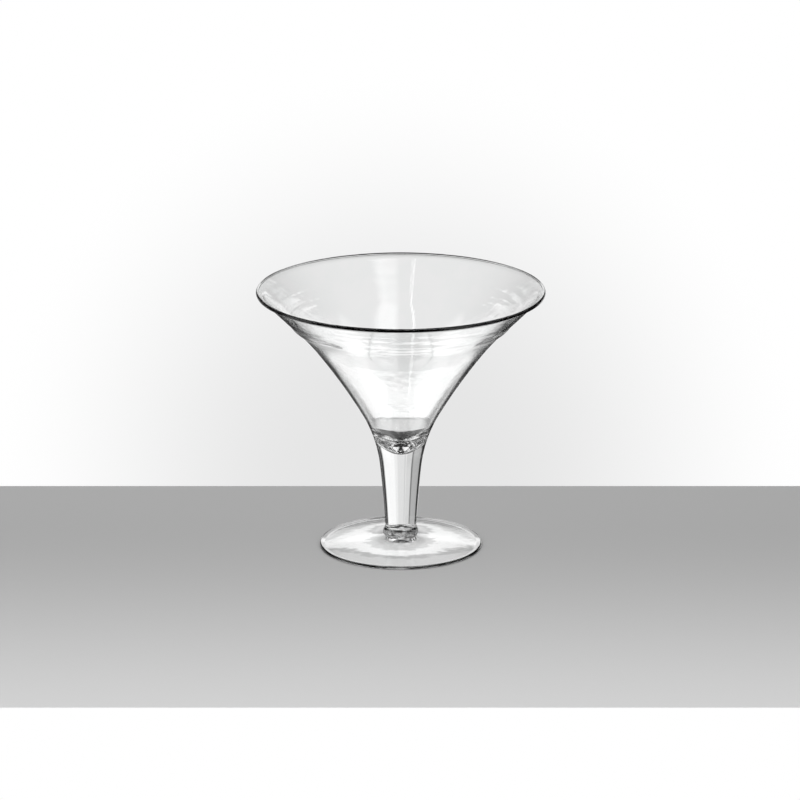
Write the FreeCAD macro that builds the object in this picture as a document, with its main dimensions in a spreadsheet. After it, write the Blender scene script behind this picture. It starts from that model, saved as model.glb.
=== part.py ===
"""Martini glass, hand-made and empty: a thin flared bowl on a short solid stem, a joint button and a foot.

The glass stands on the ring under its foot. The origin is the centre of that ring, +Z is up, and
lengths are in millimetres. Every piece is turned about Z. The pieces are separate gathers of glass
that meet face to face where a glass-maker joins them hot.
"""
import FreeCAD, Part
import math
import os
import Sketcher
from FreeCAD import Vector

# Driving dimensions. Heights are measured from the table, angles from the vertical in degrees.
DIMENSIONS = [
    ("glassHeight", 110.9),
    ("rimDiameter", 120.0),
    ("wallThickness", 1.3),
    ("beadRadius", 0.75),           # fire-polished rim, a little thicker than the wall
    ("lipRadius", 5.0),             # last turn outwards, just below the rim
    ("flareAngle", 45.3),           # outer face of the bowl's mouth
    ("flareHeight", 93.3),          # where the mouth begins to run straight out
    ("flareReach", 42.1),
    ("bendRadius", 77.0),           # soft ring where the wall turns into the flare
    ("wallRadius", 259.0),          # long slow curve of the bowl's wall
    ("neckRadius", 57.0),           # curve that carries the stem's side out into the bowl
    ("neckCentreReach", 65.4),
    ("neckCentreHeight", 28.8),
    ("cavityTipHeight", 41.4),
    ("cavityTipRadius", 5.0),
    ("cavityShoulderRadius", 31.0),
    ("seatTipHeight", 39.8),        # lowest point of the bowl, in the hollow top of the stem
    ("seatTipRadius", 9.0),
    ("seatAngle", 47.0),
    ("shaftRadius", 474.0),         # faint hollow curve along the stem
    ("shaftBaseRadius", 6.5),
    ("buttonTopHeight", 8.2),
    ("buttonBaseHeight", 4.2),
    ("buttonBaseRadius", 6.7),
    ("buttonCurveRadius", 3.2),
    ("footRadius", 34.0),
    ("footEdgeThickness", 1.3),
    ("footRingWidth", 1.6),         # flat ring that the glass stands on
    ("footHollowHeight", 2.6),      # rise of the hollow under the foot
    ("footShoulderReach", 13.0),
    ("footShoulderHeight", 3.4),
]

CENTRE = 3                          # a sketch arc's centre, among its points
ORIGIN, UPRIGHT = -1, -2            # the sketch's origin, on its level axis, and its upright axis


def makeDimensions(doc):
    """Spreadsheet whose aliases are the driving dimensions."""
    sheet = doc.addObject("Spreadsheet::Sheet", "Dimensions")
    for row, (alias, value) in enumerate(DIMENSIONS, start=1):
        sheet.set(f"A{row}", alias)
        sheet.set(f"B{row}", str(value))
        sheet.setAlias(f"B{row}", alias)
    doc.recompute()


class Edge:
    """One edge of a section: its index in the sketch, and which of its points it begins and ends at."""

    def __init__(self, index, begins=1, ends=2):
        self.index, self.begins, self.ends = index, begins, ends


class Section:
    """Closed half-section of a turned piece: X is the distance from the axis, Y the height.

    Edges follow one another round the section. The place given with each is only where the solver
    starts looking. Joins and bound dimensions settle it, and the solver is given them all at once,
    because a half-constrained outline drifts.
    """

    def __init__(self, doc, label, x, y):
        self.body = doc.addObject("PartDesign::Body", label + "_body")
        self.body.Label = label
        self.sketch = self.body.newObject("Sketcher::SketchObject", label + "_section")
        upright = next(f for f in self.body.Origin.OriginFeatures if f.Role == "XZ_Plane")
        self.sketch.AttachmentSupport = [(upright, "")]
        self.sketch.MapMode = "FlatFace"
        self.place = Vector(x, y, 0)
        self.constraints = []
        self.bound = []

    def line(self, x, y):
        start, self.place = self.place, Vector(x, y, 0)
        return Edge(self.sketch.addGeometry(Part.LineSegment(start, self.place), False))

    def arc(self, x, y, radius, clockwise=False, overHalf=False):
        """Arc from the last place to (x, y), of less than half a turn unless overHalf says so."""
        start, self.place = self.place, Vector(x, y, 0)
        chord = self.place - start
        toCentre = Vector(-chord.y, chord.x, 0).normalize()
        toCentre *= math.sqrt(radius ** 2 - chord.Length ** 2 / 4) * (-1 if clockwise != overHalf else 1)
        centre = start + chord * 0.5 + toCentre
        ends = [self.place, start] if clockwise else [start, self.place]
        angles = [math.atan2(end.y - centre.y, end.x - centre.x) for end in ends]
        circle = Part.Circle(centre, Vector(0, 0, 1), radius)
        index = self.sketch.addGeometry(Part.ArcOfCircle(circle, *angles), False)
        return Edge(index, 2, 1) if clockwise else Edge(index)

    def constrain(self, kind, *arguments):
        self.constraints.append(Sketcher.Constraint(kind, *arguments))

    def join(self, before, after):
        self.constrain("Coincident", before.index, before.ends, after.index, after.begins)

    def blend(self, *edges):
        """Neighbouring edges run into each other without a corner."""
        for before, after in zip(edges, edges[1:]):
            self.constrain("Tangent", before.index, before.ends, after.index, after.begins)

    def bind(self, kind, name, formula, *places):
        """A named constraint whose value follows the spreadsheet."""
        value = float(self.sketch.evalExpression(formula))
        if kind == "Angle":
            value, formula = math.radians(value), f"({formula}) * 1 deg"
        self.bound.append((len(self.constraints), name, formula))
        self.constrain(kind, *places, value)

    def radius(self, name, formula, edge):
        self.bind("Radius", name, formula, edge.index)

    def reach(self, name, formula, edge, point):
        self.bind("DistanceX", name, formula, ORIGIN, 1, edge.index, point)

    def height(self, name, formula, edge, point):
        self.bind("DistanceY", name, formula, ORIGIN, 1, edge.index, point)

    def lean(self, name, angle, edge):
        """Angle between the vertical and a line that runs up and outwards."""
        self.bind("Angle", name, f"90 - {angle}", edge.index)

    def level(self, edge):
        self.constrain("Horizontal", edge.index)

    def onAxis(self, edge, point):
        self.constrain("PointOnObject", edge.index, point, UPRIGHT)

    def concentric(self, outer, inner):
        self.constrain("Coincident", outer.index, CENTRE, inner.index, CENTRE)

    def neckCurve(self, edge):
        """The curve that the stem's side and the bowl's wall share."""
        self.radius("neckCurve", "Dimensions.neckRadius", edge)
        self.reach("neckReach", "Dimensions.neckCentreReach", edge, CENTRE)
        self.height("neckHeight", "Dimensions.neckCentreHeight", edge, CENTRE)

    def seatCurve(self, tip, slope):
        """The rounded cone where the bowl's bottom sits in the hollow top of the stem."""
        self.radius("seatCurve", "Dimensions.seatTipRadius", tip)
        self.onAxis(tip, CENTRE)
        self.onAxis(tip, tip.begins)
        self.height("seatTip", "Dimensions.seatTipHeight", tip, tip.begins)
        self.lean("seatLean", "Dimensions.seatAngle", slope)

    def solve(self):
        """Hand the constraints to the sketch and tie the named ones to the spreadsheet."""
        self.sketch.addConstraint(self.constraints)
        for index, name, formula in self.bound:
            self.sketch.renameConstraint(index, name)
            self.sketch.setExpression(f"Constraints.{name}", formula)
        if self.sketch.solve() or not self.sketch.FullyConstrained:
            raise RuntimeError(f"the section of {self.body.Label} is not fully constrained")

    def turn(self):
        """The solid that the section makes, turned about the glass's axis."""
        self.solve()
        turned = self.body.newObject("PartDesign::Revolution", self.body.Label + "_turned")
        turned.Profile = self.sketch
        turned.ReferenceAxis = (self.sketch, ["V_Axis"])
        turned.Angle = 360.0
        return self.body


def makeBowl(doc):
    """Blown bowl: its wall up from the stem, the rim, the cavity down to its tip, and its seat."""
    bowl = Section(doc, "bowl", 11.8, 48.0)
    neck = bowl.arc(16.3, 57.8, 57.0, clockwise=True)
    wall = bowl.arc(35.7, 86.2, 259.0, clockwise=True)
    bend = bowl.arc(42.0, 93.3, 77.0, clockwise=True)
    flare = bowl.line(57.2, 108.3)
    lip = bowl.arc(59.8, 109.6, 5.0, clockwise=True)
    bead = bowl.arc(59.2, 110.9, 0.75, overHalf=True)
    innerLip = bowl.arc(56.2, 109.2, 6.3)
    innerFlare = bowl.line(41.1, 94.2)
    innerBend = bowl.arc(34.7, 87.0, 78.3)
    innerWall = bowl.arc(15.2, 58.6, 260.3)
    innerNeck = bowl.arc(12.8, 53.6, 58.3)
    shoulder = bowl.arc(5.1, 43.9, 31.0, clockwise=True)
    tip = bowl.arc(0.0, 42.0, 8.0, clockwise=True)
    core = bowl.line(0.0, 40.4)
    seatTip = bowl.arc(6.1, 42.8, 9.0)
    seat = bowl.line(11.8, 48.0)

    bowl.blend(neck, wall, bend, flare, lip)
    bowl.join(lip, bead)
    bowl.join(bead, innerLip)
    bowl.blend(innerLip, innerFlare, innerBend, innerWall, innerNeck, shoulder, tip)
    bowl.join(tip, core)
    bowl.join(core, seatTip)
    bowl.blend(seatTip, seat)
    bowl.join(seat, neck)

    bowl.neckCurve(neck)
    bowl.seatCurve(seatTip, seat)
    bowl.radius("wallCurve", "Dimensions.wallRadius", wall)
    bowl.radius("bendCurve", "Dimensions.bendRadius", bend)
    bowl.height("flareStart", "Dimensions.flareHeight", bend, bend.ends)
    bowl.reach("flareReach", "Dimensions.flareReach", bend, bend.ends)
    bowl.lean("flareLean", "Dimensions.flareAngle", flare)
    bowl.radius("beadCurve", "Dimensions.beadRadius", bead)
    bowl.reach("rimReach", "Dimensions.rimDiameter / 2 - Dimensions.beadRadius", bead, CENTRE)
    bowl.height("rimHeight", "Dimensions.glassHeight - Dimensions.beadRadius", bead, CENTRE)

    # The bead is centred on the lip, and the wall is equally thick from there down to the neck.
    bowl.radius("lipCurve", "Dimensions.lipRadius", lip)
    bowl.bind("Distance", "lipToBead", "Dimensions.lipRadius + Dimensions.wallThickness / 2",
              lip.index, CENTRE, bead.index, CENTRE)
    bowl.radius("innerLipCurve", "Dimensions.lipRadius + Dimensions.wallThickness", innerLip)
    bowl.constrain("Parallel", flare.index, innerFlare.index)
    for outer, inner in ((lip, innerLip), (bend, innerBend), (wall, innerWall), (neck, innerNeck)):
        bowl.concentric(outer, inner)

    bowl.radius("shoulderCurve", "Dimensions.cavityShoulderRadius", shoulder)
    bowl.radius("tipCurve", "Dimensions.cavityTipRadius", tip)
    bowl.onAxis(tip, CENTRE)
    bowl.onAxis(tip, tip.ends)
    bowl.height("tipHeight", "Dimensions.cavityTipHeight", tip, tip.ends)
    return bowl


def makeStem(doc):
    """Solid drawn stem: its top is hollowed to hold the bowl, and its side runs on into the wall."""
    stem = Section(doc, "stem", 0.0, 40.4)
    seatTip = stem.arc(6.1, 42.8, 9.0)
    seat = stem.line(11.8, 48.0)
    neck = stem.arc(8.7, 35.0, 57.0)
    shaft = stem.arc(6.5, 8.2, 474.0)
    base = stem.line(0.0, 8.2)
    core = stem.line(0.0, 40.4)

    stem.blend(seatTip, seat)
    stem.join(seat, neck)
    stem.blend(neck, shaft)
    stem.join(shaft, base)
    stem.join(base, core)
    stem.join(core, seatTip)

    stem.neckCurve(neck)
    stem.seatCurve(seatTip, seat)
    stem.radius("shaftCurve", "Dimensions.shaftRadius", shaft)
    stem.level(base)
    stem.onAxis(base, base.ends)
    stem.height("baseHeight", "Dimensions.buttonTopHeight", base, base.begins)
    stem.reach("baseReach", "Dimensions.shaftBaseRadius", base, base.begins)
    return stem


def makeButton(doc):
    """Joint button: the flattened bead of glass between the stem and the foot."""
    button = Section(doc, "joint_button", 0.0, 5.0)
    base = button.line(6.7, 5.0)
    side = button.arc(6.5, 8.2, 2.1)
    top = button.line(0.0, 8.2)
    core = button.line(0.0, 5.0)

    for before, after in ((base, side), (side, top), (top, core), (core, base)):
        button.join(before, after)
    button.level(base)
    button.level(top)
    button.onAxis(core, core.begins)
    button.onAxis(core, core.ends)
    button.height("baseHeight", "Dimensions.buttonBaseHeight", base, base.ends)
    button.reach("baseReach", "Dimensions.buttonBaseRadius", base, base.ends)
    button.height("topHeight", "Dimensions.buttonTopHeight", top, top.begins)
    button.reach("topReach", "Dimensions.shaftBaseRadius", top, top.begins)
    button.radius("sideCurve", "Dimensions.buttonCurveRadius", side)
    return button


def makeFoot(doc):
    """Foot: a thin disc with a rounded edge, drawn up to the button, hollow below inside its ring."""
    foot = Section(doc, "foot", 0.0, 2.2)
    hollow = foot.arc(30.0, 0.0, 205.6, clockwise=True)
    ring = foot.line(33.35, 0.0)
    edge = foot.arc(33.35, 1.3, 0.65001)
    slope = foot.line(13.0, 3.0)
    rise = foot.arc(6.7, 5.0, 18.0, clockwise=True)
    seat = foot.line(0.0, 5.0)
    core = foot.line(0.0, 2.2)

    foot.join(hollow, ring)
    foot.join(ring, edge)
    foot.join(edge, slope)
    foot.blend(slope, rise)
    foot.join(rise, seat)
    foot.join(seat, core)
    foot.join(core, hollow)

    foot.onAxis(hollow, CENTRE)
    foot.onAxis(core, core.begins)
    foot.onAxis(core, core.ends)
    foot.height("hollowHeight", "Dimensions.footHollowHeight", core, core.ends)
    foot.level(ring)
    foot.constrain("PointOnObject", ring.index, ring.begins, ORIGIN)
    foot.bind("DistanceX", "ringWidth", "Dimensions.footRingWidth",
              ring.index, ring.begins, ring.index, ring.ends)
    foot.height("edgeHeight", "Dimensions.footEdgeThickness", edge, edge.ends)
    foot.reach("footReach", "Dimensions.footRadius - Dimensions.footEdgeThickness / 2", edge, CENTRE)
    for end in (edge.begins, edge.ends):
        foot.constrain("Vertical", edge.index, CENTRE, edge.index, end)
    foot.height("shoulderHeight", "Dimensions.footShoulderHeight", slope, slope.ends)
    foot.reach("shoulderReach", "Dimensions.footShoulderReach", slope, slope.ends)
    foot.level(seat)
    foot.height("seatHeight", "Dimensions.buttonBaseHeight", seat, seat.begins)
    foot.reach("seatReach", "Dimensions.buttonBaseRadius", seat, seat.begins)
    return foot


def checkDocument(doc, bodies):
    """Every object has computed, and every piece is one valid closed solid."""
    for item in doc.Objects:
        if "Invalid" in item.State or "Error" in item.State:
            raise RuntimeError(f"{item.Label} did not compute: {item.State}")
    for body in bodies:
        shape = body.Shape
        if shape.isNull() or not shape.isValid() or len(shape.Solids) != 1:
            raise RuntimeError(f"{body.Label} is not one valid solid")


def main():
    doc = FreeCAD.newDocument("MartiniGlass")
    makeDimensions(doc)
    bodies = [make(doc).turn() for make in (makeFoot, makeButton, makeStem, makeBowl)]
    doc.recompute()
    checkDocument(doc, bodies)
    os.makedirs("parts", exist_ok=True)
    for body in bodies:
        body.Shape.exportStep(f"parts/{body.Label}.step")
        box = body.Shape.optimalBoundingBox()
        print(f"{body.Label}: {box.XLength:.1f} across, from {box.ZMin:.2f} to {box.ZMax:.2f}, "
              f"{body.Shape.Volume / 1000:.2f} ml of glass")


main()
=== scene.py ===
import bpy
from math import asin, atan2, ceil, cos, degrees, exp, hypot, pi, radians, sin, sqrt
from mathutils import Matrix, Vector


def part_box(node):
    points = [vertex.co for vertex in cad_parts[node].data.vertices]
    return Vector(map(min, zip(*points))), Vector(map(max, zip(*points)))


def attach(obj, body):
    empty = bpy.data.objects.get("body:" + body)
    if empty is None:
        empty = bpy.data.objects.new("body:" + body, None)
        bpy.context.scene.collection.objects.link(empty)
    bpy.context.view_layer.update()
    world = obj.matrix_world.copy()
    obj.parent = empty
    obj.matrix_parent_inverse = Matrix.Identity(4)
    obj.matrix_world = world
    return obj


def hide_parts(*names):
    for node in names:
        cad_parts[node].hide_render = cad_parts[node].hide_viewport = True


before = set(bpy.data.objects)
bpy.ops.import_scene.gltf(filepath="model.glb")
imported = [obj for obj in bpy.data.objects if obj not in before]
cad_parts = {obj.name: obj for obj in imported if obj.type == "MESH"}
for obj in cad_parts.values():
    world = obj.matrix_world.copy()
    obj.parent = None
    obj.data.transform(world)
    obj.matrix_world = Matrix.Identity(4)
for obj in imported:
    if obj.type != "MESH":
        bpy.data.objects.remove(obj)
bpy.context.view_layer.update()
print("stage: frame loaded,", len(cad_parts), "nodes")

mm = 0.001
scene = bpy.context.scene


# Nodes: a wire is a socket that Python's own operators can join to another.

class Wire:
    def __init__(self, graph, socket):
        self.graph, self.socket = graph, socket

    def other(self, name):  # another output of the same node
        return Wire(self.graph, self.socket.node.outputs[name])

    def maths(self, operation, *values):
        return self.graph.add("ShaderNodeMath", {"operation": operation}, dict(enumerate(values)))

    def __add__(self, value):
        return self.maths("ADD", self, value)

    def __radd__(self, value):
        return self.maths("ADD", value, self)

    def __sub__(self, value):
        return self.maths("SUBTRACT", self, value)

    def __rsub__(self, value):
        return self.maths("SUBTRACT", value, self)

    def __mul__(self, value):
        return self.maths("MULTIPLY", self, value)

    def __rmul__(self, value):
        return self.maths("MULTIPLY", value, self)

    def __truediv__(self, value):
        return self.maths("DIVIDE", self, value)

    def __rtruediv__(self, value):
        return self.maths("DIVIDE", value, self)

    def __abs__(self):
        return self.maths("ABSOLUTE", self)

    def ramp(self, low, high, start=0.0, end=1.0):  # smooth step from start to end
        return self.graph.add("ShaderNodeMapRange", {"interpolation_type": "SMOOTHSTEP"},
                              {"Value": self, "From Min": low, "From Max": high,
                               "To Min": start, "To Max": end})


class Graph:
    def __init__(self, tree):
        self.tree = tree

    def add(self, kind, settings=None, inputs=None, output=0):
        node = self.tree.nodes.new(kind)
        for name, value in (settings or {}).items():
            setattr(node, name, value)
        usable = [socket for socket in node.inputs if socket.enabled]
        for key, value in (inputs or {}).items():
            socket = usable[key] if isinstance(key, int) else next(s for s in usable if s.name == key)
            if isinstance(value, Wire):
                self.tree.links.new(value.socket, socket)
            else:
                socket.default_value = value
        given = [socket for socket in node.outputs if socket.enabled]
        if not given:
            return node
        return Wire(self, given[output] if isinstance(output, int) else node.outputs[output])


# Outlines: half-sections as (distance from the axis, height). Angles are from the vertical.

def circlesMeet(one, oneRadius, other, otherRadius, outer=True):
    # of the two crossings, the one further from the axis, or the nearer
    dx, dz = other[0] - one[0], other[1] - one[1]
    gap = hypot(dx, dz)
    along = (oneRadius ** 2 - otherRadius ** 2 + gap ** 2) / (2 * gap)
    aside = sqrt(max(oneRadius ** 2 - along ** 2, 0.0))
    crossings = [(one[0] + (dx * along - side * dz * aside) / gap,
                  one[1] + (dz * along + side * dx * aside) / gap) for side in (-1, 1)]
    return max(crossings) if outer else min(crossings)


def angleAt(centre, point):  # of a curve through point whose centre is on its open side
    return degrees(atan2(point[1] - centre[1], centre[0] - point[0]))


def beside(point, angle, distance):  # square to a line that leans by angle, on its open side
    return point[0] + distance * cos(radians(angle)), point[1] - distance * sin(radians(angle))


class Outline:
    def __init__(self, step, turnStep=8.0):
        self.step, self.turnStep = step, turnStep
        self.rows = []      # distance, height, on a joint or not, how much of ripples, of rings
        self.marked = []    # how much of the tool's mark, row by row

    def put(self, point, joined, ripple, rings=0.0):
        distance = max(point[0], 0.0)
        if self.rows and hypot(distance - self.rows[-1][0], point[1] - self.rows[-1][1]) < 2e-6:
            *place, wasJoined, wasRipple, wasRings = self.rows[-1]
            self.rows[-1] = (*place, joined or wasJoined, min(ripple, wasRipple), min(rings, wasRings))
            return
        self.rows.append((distance, point[1], joined, ripple, rings))

    def line(self, point, joined=False, ripple=1.0, rings=0.0):
        x, z = self.rows[-1][:2]
        count = max(1, ceil(hypot(point[0] - x, point[1] - z) / self.step))
        for i in range(1, count + 1):
            share = i / count
            self.put((x + (point[0] - x) * share, z + (point[1] - z) * share), joined, ripple,
                     rings * sin(pi * share))

    def arc(self, centre, radius, start, end, joined=False, ripple=1.0):
        # a radius below zero is for a centre on the glass's own side
        turn = radians(abs(end - start))
        count = max(2, ceil(abs(radius) * turn / self.step), ceil(degrees(turn) / self.turnStep))
        for i in range(count + 1):
            self.put(beside(centre, start + (end - start) * i / count, -radius), joined, ripple)

    def mark(self, height, spread):  # a soft mark at this height on the rows laid so far
        self.marked = [exp(-((z - height) / spread) ** 2) for _, z, *_ in self.rows]

    def eased(self, reach):  # rows whose ripples die away within reach of a row that has none
        along = [0.0]
        for (x, z, *_), (nextX, nextZ, *_) in zip(self.rows, self.rows[1:]):
            along.append(along[-1] + hypot(nextX - x, nextZ - z))
        still = [place for place, row in zip(along, self.rows) if row[3] == 0.0]
        unmarked = [0.0] * (len(self.rows) - len(self.marked))
        rows = []
        for place, (x, z, joined, ripple, rings), marked in zip(along, self.rows, self.marked + unmarked):
            near = min([abs(place - other) / reach for other in still] + [1.0])
            rows.append((x, z, float(joined), ripple * near * near * (3 - 2 * near), rings, marked))
        return rows


# The curve of the stem's side runs on into the bowl's wall, so both pieces read it here.
neck = {"radius": 57.0 * mm, "centre": (65.4 * mm, 28.8 * mm)}
seat = {"tipRadius": 9.0 * mm, "angle": 47.0}     # where the bowl sits in the stem


def seatEdge():  # ring where the bowl's outer face begins
    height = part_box("stem")[1].z
    angle = degrees(asin((height - neck["centre"][1]) / neck["radius"]))
    return beside(neck["centre"], angle, -neck["radius"]), angle


def seatTip():
    return 0.0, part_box("bowl")[0].z + seat["tipRadius"]


bowl = {
    "wall": 1.3 * mm,
    "beadRadius": 0.75 * mm,
    "lipRadius": 5.0 * mm,
    "flareAngle": 45.3,
    "flareStart": (42.1 * mm, 93.3 * mm),
    "bendRadius": 77.0 * mm,
    "wallRadius": 259.0 * mm,
    "shoulderRadius": 31.0 * mm,
    "tipRadius": 5.0 * mm,
    "tipHeight": 41.4 * mm,
    "markHeight": 96.4 * mm,        # a slight ring left by the tool where the wall turns out
    "markSpread": 1.6 * mm,
    "markDepth": 0.38 * mm,
    "segments": 384,
    "step": 0.9 * mm,
    "ripple": 0.05 * mm,
    "rippleSize": 14.0 * mm,
    "tipRipple": 0.6,               # the share of the ripple inside the bowl's bottom
    "rings": 0.09 * mm,             # fine turned rings under the rim
    "easing": 5.0 * mm,             # ripples die away this far from the joint
}


def bowlOutline():
    wall = bowl["wall"]
    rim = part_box("bowl")[1]
    bead = (rim.x - bowl["beadRadius"], rim.z - bowl["beadRadius"])
    flare, lipReach = bowl["flareAngle"], bowl["lipRadius"]
    neckCentre, neckReach = neck["centre"], neck["radius"]
    bendCentre = beside(bowl["flareStart"], flare, bowl["bendRadius"])
    wallCentre = circlesMeet(neckCentre, bowl["wallRadius"] - neckReach,
                             bendCentre, bowl["wallRadius"] - bowl["bendRadius"])
    wallStart, wallEnd = angleAt(wallCentre, neckCentre), angleAt(wallCentre, bendCentre)

    # The lip's centre lies level with the flare's line, its own radius out, and rounds the bead.
    start = beside(bowl["flareStart"], flare, lipReach)
    ahead = (sin(radians(flare)), cos(radians(flare)))
    toBead = (bead[0] - start[0], bead[1] - start[1])
    along = toBead[0] * ahead[0] + toBead[1] * ahead[1]
    aside = toBead[0] * ahead[1] - toBead[1] * ahead[0]
    run = along - sqrt((lipReach + wall / 2) ** 2 - aside ** 2)
    lipCentre = (start[0] + run * ahead[0], start[1] + run * ahead[1])
    beadStart = circlesMeet(lipCentre, lipReach, bead, bowl["beadRadius"], outer=False)
    beadEnd = circlesMeet(lipCentre, lipReach + wall, bead, bowl["beadRadius"], outer=False)

    tipCentre = (0.0, bowl["tipHeight"] + bowl["tipRadius"])
    shoulderCentre = circlesMeet(neckCentre, neckReach + wall + bowl["shoulderRadius"],
                                 tipCentre, bowl["shoulderRadius"] - bowl["tipRadius"])
    shoulderStart = angleAt(neckCentre, shoulderCentre)
    shoulderEnd = angleAt(tipCentre, shoulderCentre)

    edge, edgeAngle = seatEdge()
    outline = Outline(bowl["step"])
    outline.arc(seatTip(), -seat["tipRadius"], 90.0, seat["angle"], joined=True, ripple=0.0)
    outline.line(edge, joined=True, ripple=0.0)
    outline.arc(neckCentre, neckReach, edgeAngle, wallStart)
    outline.arc(wallCentre, bowl["wallRadius"], wallStart, wallEnd)
    outline.arc(bendCentre, bowl["bendRadius"], wallEnd, flare)
    outline.line(beside(lipCentre, flare, -lipReach), rings=1.0)
    outline.mark(bowl["markHeight"], bowl["markSpread"])
    outline.arc(lipCentre, lipReach, flare, angleAt(lipCentre, beadStart))
    outline.arc(bead, -bowl["beadRadius"], 180.0 + angleAt(bead, beadStart),
                angleAt(bead, beadEnd) - 180.0)
    outline.arc(lipCentre, lipReach + wall, angleAt(lipCentre, beadEnd), flare)
    outline.line(beside(bendCentre, flare, -bowl["bendRadius"] - wall))
    outline.arc(bendCentre, bowl["bendRadius"] + wall, flare, wallEnd)
    outline.arc(wallCentre, bowl["wallRadius"] + wall, wallEnd, wallStart)
    outline.arc(neckCentre, neckReach + wall, wallStart, shoulderStart)
    outline.arc(shoulderCentre, -bowl["shoulderRadius"], shoulderStart, shoulderEnd,
                ripple=bowl["tipRipple"])
    outline.arc(tipCentre, -bowl["tipRadius"], shoulderEnd, 90.0, ripple=0.0)
    return outline


stem = {
    "shaftRadius": 474.0 * mm,
    "baseRadius": 6.5 * mm,
    "segments": 192,
    "step": 0.6 * mm,
    "ripple": 0.05 * mm,
    "rippleSize": 14.0 * mm,
    "easing": 5.0 * mm,
}


def stemOutline():
    base = (stem["baseRadius"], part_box("stem")[0].z)
    edge, edgeAngle = seatEdge()
    shaftCentre = circlesMeet(neck["centre"], stem["shaftRadius"] - neck["radius"],
                              base, stem["shaftRadius"])
    shaftEnd = angleAt(shaftCentre, neck["centre"])
    outline = Outline(stem["step"])
    outline.put((0.0, base[1]), True, 0.0)
    outline.line(base, joined=True, ripple=0.0)
    outline.arc(shaftCentre, stem["shaftRadius"], angleAt(shaftCentre, base), shaftEnd)
    outline.arc(neck["centre"], neck["radius"], shaftEnd, edgeAngle)
    outline.line(edge, joined=True, ripple=0.0)
    tip = seatTip()
    outline.line(beside(tip, seat["angle"], seat["tipRadius"]), joined=True, ripple=0.0)
    outline.arc(tip, -seat["tipRadius"], seat["angle"], 90.0, joined=True, ripple=0.0)
    return outline


button = {
    "baseRadius": 6.7 * mm,
    "topRadius": 6.5 * mm,
    "curveRadius": 3.2 * mm,
    "segments": 160,
    "step": 0.2 * mm,
    "ripple": 0.9 * mm,
    "rippleSize": 3.4 * mm,
    "easing": 0.5 * mm,
}


def buttonOutline():
    low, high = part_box("joint_button")
    base, top = (button["baseRadius"], low.z), (button["topRadius"], high.z)
    centre = circlesMeet(base, button["curveRadius"], top, button["curveRadius"], outer=False)
    outline = Outline(button["step"])
    outline.put((0.0, low.z), True, 0.0)
    outline.line(base, joined=True, ripple=0.0)
    outline.arc(centre, -button["curveRadius"], 180.0 + angleAt(centre, base),
                180.0 + angleAt(centre, top) - 360.0)
    outline.line((0.0, high.z), joined=True, ripple=0.0)
    return outline


foot = {
    "edgeThickness": 1.3 * mm,
    "ringWidth": 1.6 * mm,
    "hollowHeight": 2.6 * mm,
    "shoulder": (13.0 * mm, 3.4 * mm),
    "segments": 256,
    "step": 0.5 * mm,
    "ripple": 0.1 * mm,
    "rippleSize": 11.0 * mm,
    "hollowRipple": 0.4,            # the share of the ripple in the hollow underneath
    "stillRows": 3,                 # rows of the hollow beside the ring that stay flat
    "easing": 4.0 * mm,
}


def footOutline():
    reach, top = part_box("foot")[1].x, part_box("foot")[1].z
    half = foot["edgeThickness"] / 2
    edge = (reach - half, half)
    ring = edge[0] - foot["ringWidth"]
    shoulder, join = foot["shoulder"], (button["baseRadius"], top)

    # The rise leaves the slope without a corner and ends at the button.
    slope = degrees(atan2(shoulder[0] - edge[0], shoulder[1] - 2 * half))
    toJoin = (join[0] - shoulder[0], join[1] - shoulder[1])
    aside = abs(toJoin[0] * cos(radians(slope)) - toJoin[1] * sin(radians(slope)))
    riseRadius = (toJoin[0] ** 2 + toJoin[1] ** 2) / (2 * aside)
    riseCentre = beside(shoulder, slope, riseRadius)

    outline = Outline(foot["step"])
    hollowRadius = (ring ** 2 + foot["hollowHeight"] ** 2) / (2 * foot["hollowHeight"])
    count = ceil(ring / foot["step"])
    for i in range(count + 1):
        lean = asin(ring / hollowRadius) * i / count
        height = foot["hollowHeight"] - hollowRadius * (1 - cos(lean))
        rippled = 0 < i < count - foot["stillRows"]
        outline.put((hollowRadius * sin(lean), height), False, foot["hollowRipple"] if rippled else 0.0)
    outline.line((edge[0], 0.0), ripple=0.0)
    outline.arc(edge, -half, 90.0, -90.0, ripple=0.0)
    outline.line(shoulder)
    outline.arc(riseCentre, riseRadius, angleAt(riseCentre, shoulder), angleAt(riseCentre, join))
    outline.line(join, joined=True, ripple=0.0)
    outline.line((0.0, top), joined=True, ripple=0.0)
    return outline


# One turned piece: the outline's rows go round the axis on a grid, rippled a little by noise.
turning = {
    "seed": 3.0,
    "detail": 2.0,
    "roughness": 0.55,
    "ringHeight": 2.2 * mm,         # from one fine ring to the next
    "ringStretch": 0.12,            # how slowly the rings change on the way round
    "markSides": (0.55, 0.8),       # the tool's mark shows to both sides, between these cosines,
    "markLean": 0.1,                # a little more on the left
    "markFront": -0.2,              # and only on the front half
    "weld": 0.001 * mm,
}


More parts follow.
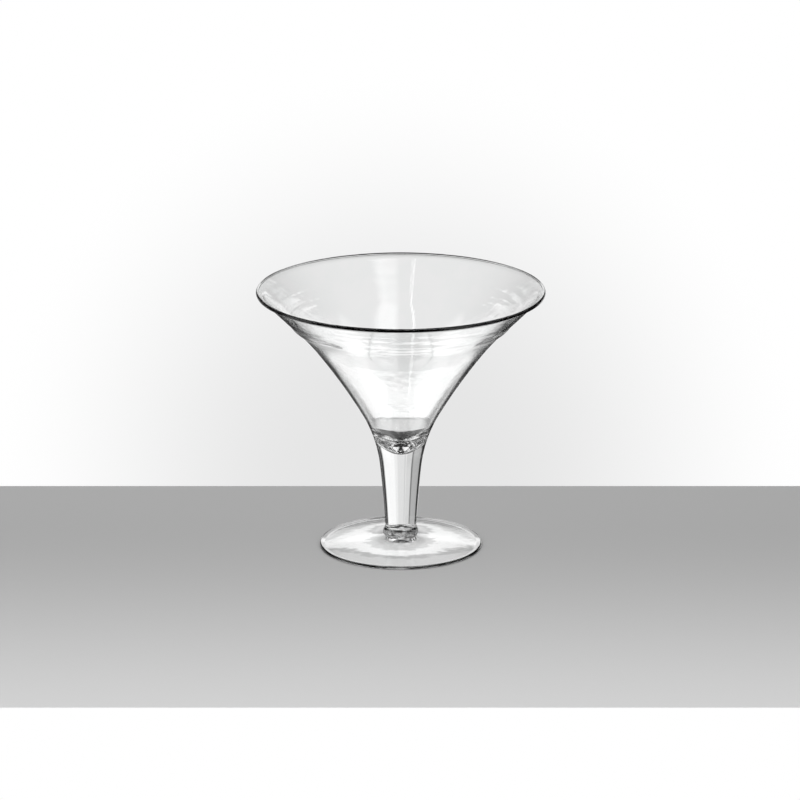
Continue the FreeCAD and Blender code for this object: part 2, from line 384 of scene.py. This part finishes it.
def turnedTree():
    tree = bpy.data.node_groups.new("turnedGlass", "GeometryNodeTree")
    sockets = [("Outline", "Geometry"), ("Segments", "Int"), ("Ripple", "Float"),
               ("Ripple Size", "Float"), ("Rings", "Float"), ("Mark", "Float"),
               ("Upright", "Float"), ("Seed", "Float"),
               ("Glass", "Material"), ("Fused", "Material")]
    for name, kind in sockets:
        tree.interface.new_socket(name, in_out="INPUT", socket_type="NodeSocket" + kind)
    tree.interface.new_socket("Piece", in_out="OUTPUT", socket_type="NodeSocketGeometry")
    graph = Graph(tree)
    given = graph.add("NodeGroupInput")
    outline, segments = given, given.other("Segments")

    count = graph.add("GeometryNodeAttributeDomainSize", {"component": "MESH"}, {"Geometry": outline})
    grid = graph.add("GeometryNodeMeshGrid", None, {"Vertices X": segments + 1, "Vertices Y": count})
    index = graph.add("GeometryNodeInputIndex")
    row = index.maths("MODULO", index, count)
    turn = index.maths("FLOOR", index / count) * (2 * pi) / segments

    def fromRow(kind, value):  # a quantity of the outline's row that a grid point belongs to
        return graph.add("GeometryNodeSampleIndex", {"data_type": kind, "domain": "POINT"},
                         {"Geometry": outline, "Value": value, "Index": row})

    def ofOutline(name):
        field = graph.add("GeometryNodeInputNamedAttribute", {"data_type": "FLOAT"}, {"Name": name})
        return fromRow("FLOAT", field)

    def goRound(place):
        return graph.add("ShaderNodeVectorRotate", {"rotation_type": "Z_AXIS"},
                         {"Vector": place, "Angle": turn})

    place = fromRow("FLOAT_VECTOR", graph.add("GeometryNodeInputPosition"))
    noise = graph.add("ShaderNodeTexNoise", {"noise_dimensions": "4D"},
                      {"Vector": goRound(place), "W": given.other("Seed"),
                       "Scale": 1 / given.other("Ripple Size"), "Detail": turning["detail"],
                       "Roughness": turning["roughness"]})
    flat = graph.add("ShaderNodeVectorMath", {"operation": "MULTIPLY"},
                     {0: goRound(place), 1: (turning["ringStretch"], turning["ringStretch"], 1.0)})
    ringNoise = graph.add("ShaderNodeTexNoise", {"noise_dimensions": "4D"},
                          {"Vector": flat, "W": given.other("Seed"),
                           "Scale": 1 / turning["ringHeight"], "Detail": 1.0})
    sideways = abs(turn.maths("COSINE", turn) - turning["markLean"]).ramp(*turning["markSides"])
    forward = turn.maths("SINE", turn).ramp(0.0, turning["markFront"])
    swell = ((noise - 0.5) * given.other("Ripple") * ofOutline("ripple")
             + (ringNoise - 0.5) * given.other("Rings") * ofOutline("rings")
             + given.other("Mark") * ofOutline("mark") * sideways * forward)
    upright = given.other("Upright")
    push = graph.add("ShaderNodeCombineXYZ", None, {"X": swell * (1 - upright), "Z": swell * upright})
    moved = graph.add("ShaderNodeVectorMath", {"operation": "ADD"}, {0: place, 1: push})

    piece = graph.add("GeometryNodeSetPosition", None, {"Geometry": grid, "Position": goRound(moved)})
    piece = graph.add("GeometryNodeStoreNamedAttribute", {"data_type": "FLOAT", "domain": "POINT"},
                      {"Geometry": piece, "Name": "joined", "Value": ofOutline("joined")})
    piece = graph.add("GeometryNodeMergeByDistance", None, {"Geometry": piece, "Distance": turning["weld"]})
    onJoint = graph.add("GeometryNodeInputNamedAttribute", {"data_type": "FLOAT"}, {"Name": "joined"})
    onJoint = onJoint.maths("GREATER_THAN", onJoint, 0.99)
    piece = graph.add("GeometryNodeSetShadeSmooth", {"domain": "EDGE"},
                      {"Geometry": piece, "Selection": onJoint, "Shade Smooth": False})
    piece = graph.add("GeometryNodeRealizeInstances", None, {"Geometry": piece})
    piece = graph.add("GeometryNodeSetMaterial", None,
                      {"Geometry": piece, "Material": given.other("Glass")})
    piece = graph.add("GeometryNodeSetMaterial", None,
                      {"Geometry": piece, "Selection": onJoint, "Material": given.other("Fused")})
    graph.add("NodeGroupOutput", None, {"Piece": piece})
    return tree


def makeTurned(name, outline, sizes, upright, seed):
    rows = outline.eased(sizes["easing"])
    mesh = bpy.data.meshes.new(name)
    mesh.from_pydata([(x, 0.0, z) for x, z, *_ in rows], [(i, i + 1) for i in range(len(rows) - 1)], [])
    for key, column in (("joined", 2), ("ripple", 3), ("rings", 4), ("mark", 5)):
        mesh.attributes.new(key, "FLOAT", "POINT").data.foreach_set("value", [row[column] for row in rows])
    piece = bpy.data.objects.new(name, mesh)
    scene.collection.objects.link(piece)
    modifier = piece.modifiers.new("turned", "NODES")
    modifier.node_group = turned
    values = {"Segments": sizes["segments"], "Ripple": sizes["ripple"], "Upright": upright,
              "Ripple Size": sizes["rippleSize"], "Rings": sizes.get("rings", 0.0),
              "Mark": sizes.get("markDepth", 0.0), "Seed": seed, "Glass": clearGlass, "Fused": fusedFace}
    for item in turned.interface.items_tree:
        if item.name in values:
            modifier[item.identifier] = values[item.name]
    solid = bpy.data.meshes.new_from_object(piece.evaluated_get(bpy.context.evaluated_depsgraph_get()))
    piece.modifiers.clear()
    piece.data = solid
    bpy.data.meshes.remove(mesh)
    solid.name = name
    solid.attributes.remove(solid.attributes["joined"])
    if solid.materials[0] is None:  # the grid's own slot, which no face uses
        solid.materials.pop(index=0)
    return piece


# Clear glass: fine draw lines and a soft unevenness that bend what is seen through it.
glassLook = {
    "ior": 1.52,
    "tint": (0.985, 0.992, 0.99, 1.0),
    "clear": (1.0, 1.0, 1.0, 1.0),
    "tintedWaves": (0.4, 0.6),      # from the tinted waves to the clear ones
    "waveSize": 9.0 * mm,
    "drawLineSize": 1.6 * mm,
    "drawLineStretch": 0.12,        # draw lines run up and down the glass
    "drawLineDepth": 0.12,          # beside the waves' depth
    "bumpDepth": 0.02 * mm,
}


def makeClearGlass():
    material = bpy.data.materials.new("clearGlass")
    material.use_nodes = True
    material.node_tree.nodes.clear()
    graph = Graph(material.node_tree)
    place = graph.add("ShaderNodeTexCoord", output="Object")
    waves = graph.add("ShaderNodeTexNoise", None, {"Vector": place, "Scale": 1 / glassLook["waveSize"],
                                                   "Detail": 2.0, "Roughness": 0.45})
    drawn = graph.add("ShaderNodeMapping", None,
                      {"Vector": place, "Scale": (1.0, 1.0, glassLook["drawLineStretch"])})
    lines = graph.add("ShaderNodeTexNoise", None, {"Vector": drawn, "Scale": 1 / glassLook["drawLineSize"],
                                                   "Detail": 1.0})
    relief = waves + lines * glassLook["drawLineDepth"]
    bump = graph.add("ShaderNodeBump", None, {"Height": relief, "Distance": glassLook["bumpDepth"]})
    colour = graph.add("ShaderNodeMix", {"data_type": "RGBA"},
                       {"Factor": waves.ramp(*glassLook["tintedWaves"]),
                        "A": glassLook["tint"], "B": glassLook["clear"]})
    glass = graph.add("ShaderNodeBsdfPrincipled", None,
                      {"Base Color": colour, "Roughness": 0.0, "IOR": glassLook["ior"],
                       "Transmission Weight": 1.0, "Normal": bump})
    graph.add("ShaderNodeOutputMaterial", None, {"Surface": glass})
    return material


def makeFusedFace():  # where two gathers have run together there is no surface to see
    material = bpy.data.materials.new("fusedFace")
    material.use_nodes = True
    material.node_tree.nodes.clear()
    graph = Graph(material.node_tree)
    graph.add("ShaderNodeOutputMaterial", None, {"Surface": graph.add("ShaderNodeBsdfTransparent")})
    return material


clearGlass = makeClearGlass()
fusedFace = makeFusedFace()
turned = turnedTree()
print("stage: materials and the turning tree made")

pieces = [
    ("bowlGlass", "bowl", bowlOutline(), bowl, 0.0),
    ("stemGlass", "stem", stemOutline(), stem, 0.0),
    ("buttonGlass", "joint_button", buttonOutline(), button, 0.0),
    ("footGlass", "foot", footOutline(), foot, 1.0),
]
for name, node, outline, sizes, upright in pieces:
    piece = makeTurned(name, outline, sizes, upright, turning["seed"])
    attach(piece, "root")
    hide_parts(node)
    piece.visible_diffuse = piece.visible_shadow = name == "footGlass"   # only the foot shades the table
    print("stage:", name, "turned,", len(piece.data.polygons), "faces")


# The table: a pale board that ends just behind the glass, with painted light falloff: its colour is a
# little lighter towards the front and darker towards the back.
table = {
    "back": 79.0 * mm,
    "front": -196.0 * mm,
    "halfWidth": 600.0 * mm,
    "backShadedGrey": 0.445,
    "frontLitGrey": 0.81,
    "paintedFalloff": (-266.0 * mm, 30.0 * mm),   # from the front grey to the back one
}


def makeTable():
    side, front, back = table["halfWidth"], table["front"], table["back"]
    mesh = bpy.data.meshes.new("table")
    mesh.from_pydata([(-side, front, 0), (side, front, 0), (side, back, 0), (-side, back, 0)],
                     [], [(0, 1, 2, 3)])
    board = bpy.data.objects.new("table", mesh)
    scene.collection.objects.link(board)
    material = bpy.data.materials.new("tablePaintedFalloff")
    material.use_nodes = True
    material.node_tree.nodes.clear()
    graph = Graph(material.node_tree)
    place = graph.add("ShaderNodeTexCoord", output="Object")
    depth = graph.add("ShaderNodeSeparateXYZ", None, {"Vector": place}).other("Y")
    # painted light falloff: the board's grey is darker at the back and lighter at the front, standing in
    # for how the light falls across it
    grey = depth.ramp(*table["paintedFalloff"], table["frontLitGrey"], table["backShadedGrey"])
    colour = graph.add("ShaderNodeCombineColor", None, {"Red": grey, "Green": grey, "Blue": grey})
    paint = graph.add("ShaderNodeBsdfDiffuse", None, {"Color": colour})
    graph.add("ShaderNodeOutputMaterial", None, {"Surface": paint})
    mesh.materials.append(material)
    board.visible_transmission = False      # the glass is lit by the studio alone
    board.visible_glossy = False


makeTable()

# Studio light. Each panel is an azimuth, from +Y towards +X, half its width and how soft its sides
# are, then an elevation, half its height and how soft its top is, all in degrees, and its radiance.
panels = [
    ((0, 9, 3), (-11.0, 9.2, 0.7), 0.78),       # window behind the glass
    ((0, 2.6, 1.0), (-16.9, 0.5, 0.2), 0.30),   # the bowl's inside looks through these parts
    ((2, 8, 5), (-18.4, 1.1, 0.3), 0.30),
    ((26, 17, 4), (-7, 13, 2), 1.02),           # wide backdrop, brighter on the right
    ((-15.5, 6.5, 1.5), (-7, 13, 2), 0.66),
    ((-38, 13.5, 3), (-7, 13, 2), 0.46),
    ((0, 5, 3), (-25.6, 5.1, 0.8), 0.72),       # pale floor just beyond the table
    ((0, 9, 4), (9.5, 11.5, 1.5), 0.55),        # the wall above the window
    ((0, 7, 4), (26, 10, 4), 0.30),
    ((-90, 14, 5), (10, 36, 4), 0.95),          # columns to the left and the right
    ((90, 14, 5), (36, 10, 4), 0.9),
    ((-45, 10, 4), (-27, 9, 4), 0.5),
    ((135, 13, 5), (-5, 28, 5), 1.0),
    ((-72, 48, 6), (-57, 22, 6), 1.0),          # floor to both sides
    ((72, 48, 6), (-57, 22, 6), 1.0),
    ((180, 120, 40), (62, 30, 12), 0.78),       # overhead, in front
    ((152, 20, 9), (62, 13, 6), 1.9),           # tall lamps in front, seen in the back wall
    ((-154, 2.0, 1.2), (60, 15, 2), 2.8),
]
studio = {"dark": 0.03}     # the radiance between the panels

# What the camera sees behind the glass: a light ground with a soft grey middle, white below the table.
backdrop = {"azimuth": 0.0, "elevation": -17.8, "near": 0.79, "far": 1.0,
            "nearAngle": 0.9, "farAngle": 5.0, "foot": -20.2, "footSoftness": 0.1}
lamp = {"size": 1.2, "height": 1.1, "aside": -0.12, "behind": 0.35, "power": 6.0}


def makeStudio():
    world = bpy.data.worlds.new("studio")
    scene.world = world
    world.use_nodes = True
    world.node_tree.nodes.clear()
    graph = Graph(world.node_tree)
    direction = graph.add("ShaderNodeTexCoord", output="Generated")
    parts = graph.add("ShaderNodeSeparateXYZ", None, {"Vector": direction})
    inDegrees = 180 / pi
    azimuth = parts.maths("ARCTAN2", parts, parts.other("Y")) * inDegrees
    elevation = parts.maths("ARCSINE", parts.other("Z")) * inDegrees

    light = studio["dark"]
    for (middle, halfWidth, softSide), (height, halfHeight, softTop), radiance in panels:
        aside = azimuth - middle
        aside = abs(aside.maths("WRAP", aside, 180.0, -180.0))
        across = aside.ramp(halfWidth - softSide, halfWidth + softSide, radiance, 0.0)
        above = abs(elevation - height)
        light = light + across * above.ramp(halfHeight - softTop, halfHeight + softTop, 1.0, 0.0)

    lean, turn = radians(backdrop["elevation"]), radians(backdrop["azimuth"])
    middle = (cos(lean) * sin(turn), cos(lean) * cos(turn), sin(lean))
    nearness = graph.add("ShaderNodeVectorMath", {"operation": "DOT_PRODUCT"},
                         {0: direction, 1: middle}, output="Value")
    angle = nearness.maths("ARCCOSINE", nearness) * inDegrees
    seen = angle.ramp(backdrop["nearAngle"], backdrop["farAngle"], backdrop["near"], backdrop["far"])
    below = elevation.ramp(backdrop["foot"] - backdrop["footSoftness"], backdrop["foot"], 1.0, 0.0)
    seen = seen.maths("MAXIMUM", seen, below)

    camera = graph.add("ShaderNodeLightPath", output="Is Camera Ray")
    strength = graph.add("ShaderNodeMix", {"data_type": "FLOAT"}, {"Factor": camera, "A": light, "B": seen})
    sky = graph.add("ShaderNodeBackground", None, {"Color": (1, 1, 1, 1), "Strength": strength})
    graph.add("ShaderNodeOutputWorld", None, {"Surface": sky})


def makeLamp():  # a soft lamp over the table, which the glass neither mirrors nor bends
    data = bpy.data.lights.new("tableLamp", "AREA")
    data.shape = "SQUARE"
    data.size = lamp["size"]
    data.energy = lamp["power"]
    light = bpy.data.objects.new("tableLamp", data)
    light.location = (lamp["aside"], lamp["behind"], lamp["height"])
    light.rotation_euler = light.location.to_track_quat("Z", "Y").to_euler()
    light.visible_glossy = light.visible_transmission = light.visible_camera = False
    scene.collection.objects.link(light)


makeStudio()
makeLamp()
print("stage: table and studio made")

# The camera looks along +Y and down: metres, degrees, and the lens in millimetres.
view = {"distance": 1.9014, "height": 0.63934, "pitch": 16.858, "aside": -0.00033, "lens": 214.53}


def makeCamera():
    data = bpy.data.cameras.new("camera")
    data.sensor_width = 36.0
    data.lens = view["lens"]
    data.clip_end = 50.0
    camera = bpy.data.objects.new("camera", data)
    camera.location = (view["aside"], -view["distance"], view["height"])
    camera.rotation_euler = (radians(90 - view["pitch"]), 0.0, 0.0)
    scene.collection.objects.link(camera)
    scene.camera = camera


makeCamera()
scene.view_settings.view_transform = "Standard"
scene.cycles.max_bounces = 24       # a ray crosses many faces of glass
scene.cycles.transmission_bounces = 24
scene.cycles.glossy_bounces = 12
scene.cycles.transparent_max_bounces = 24
scene.cycles.caustics_reflective = scene.cycles.caustics_refractive = False
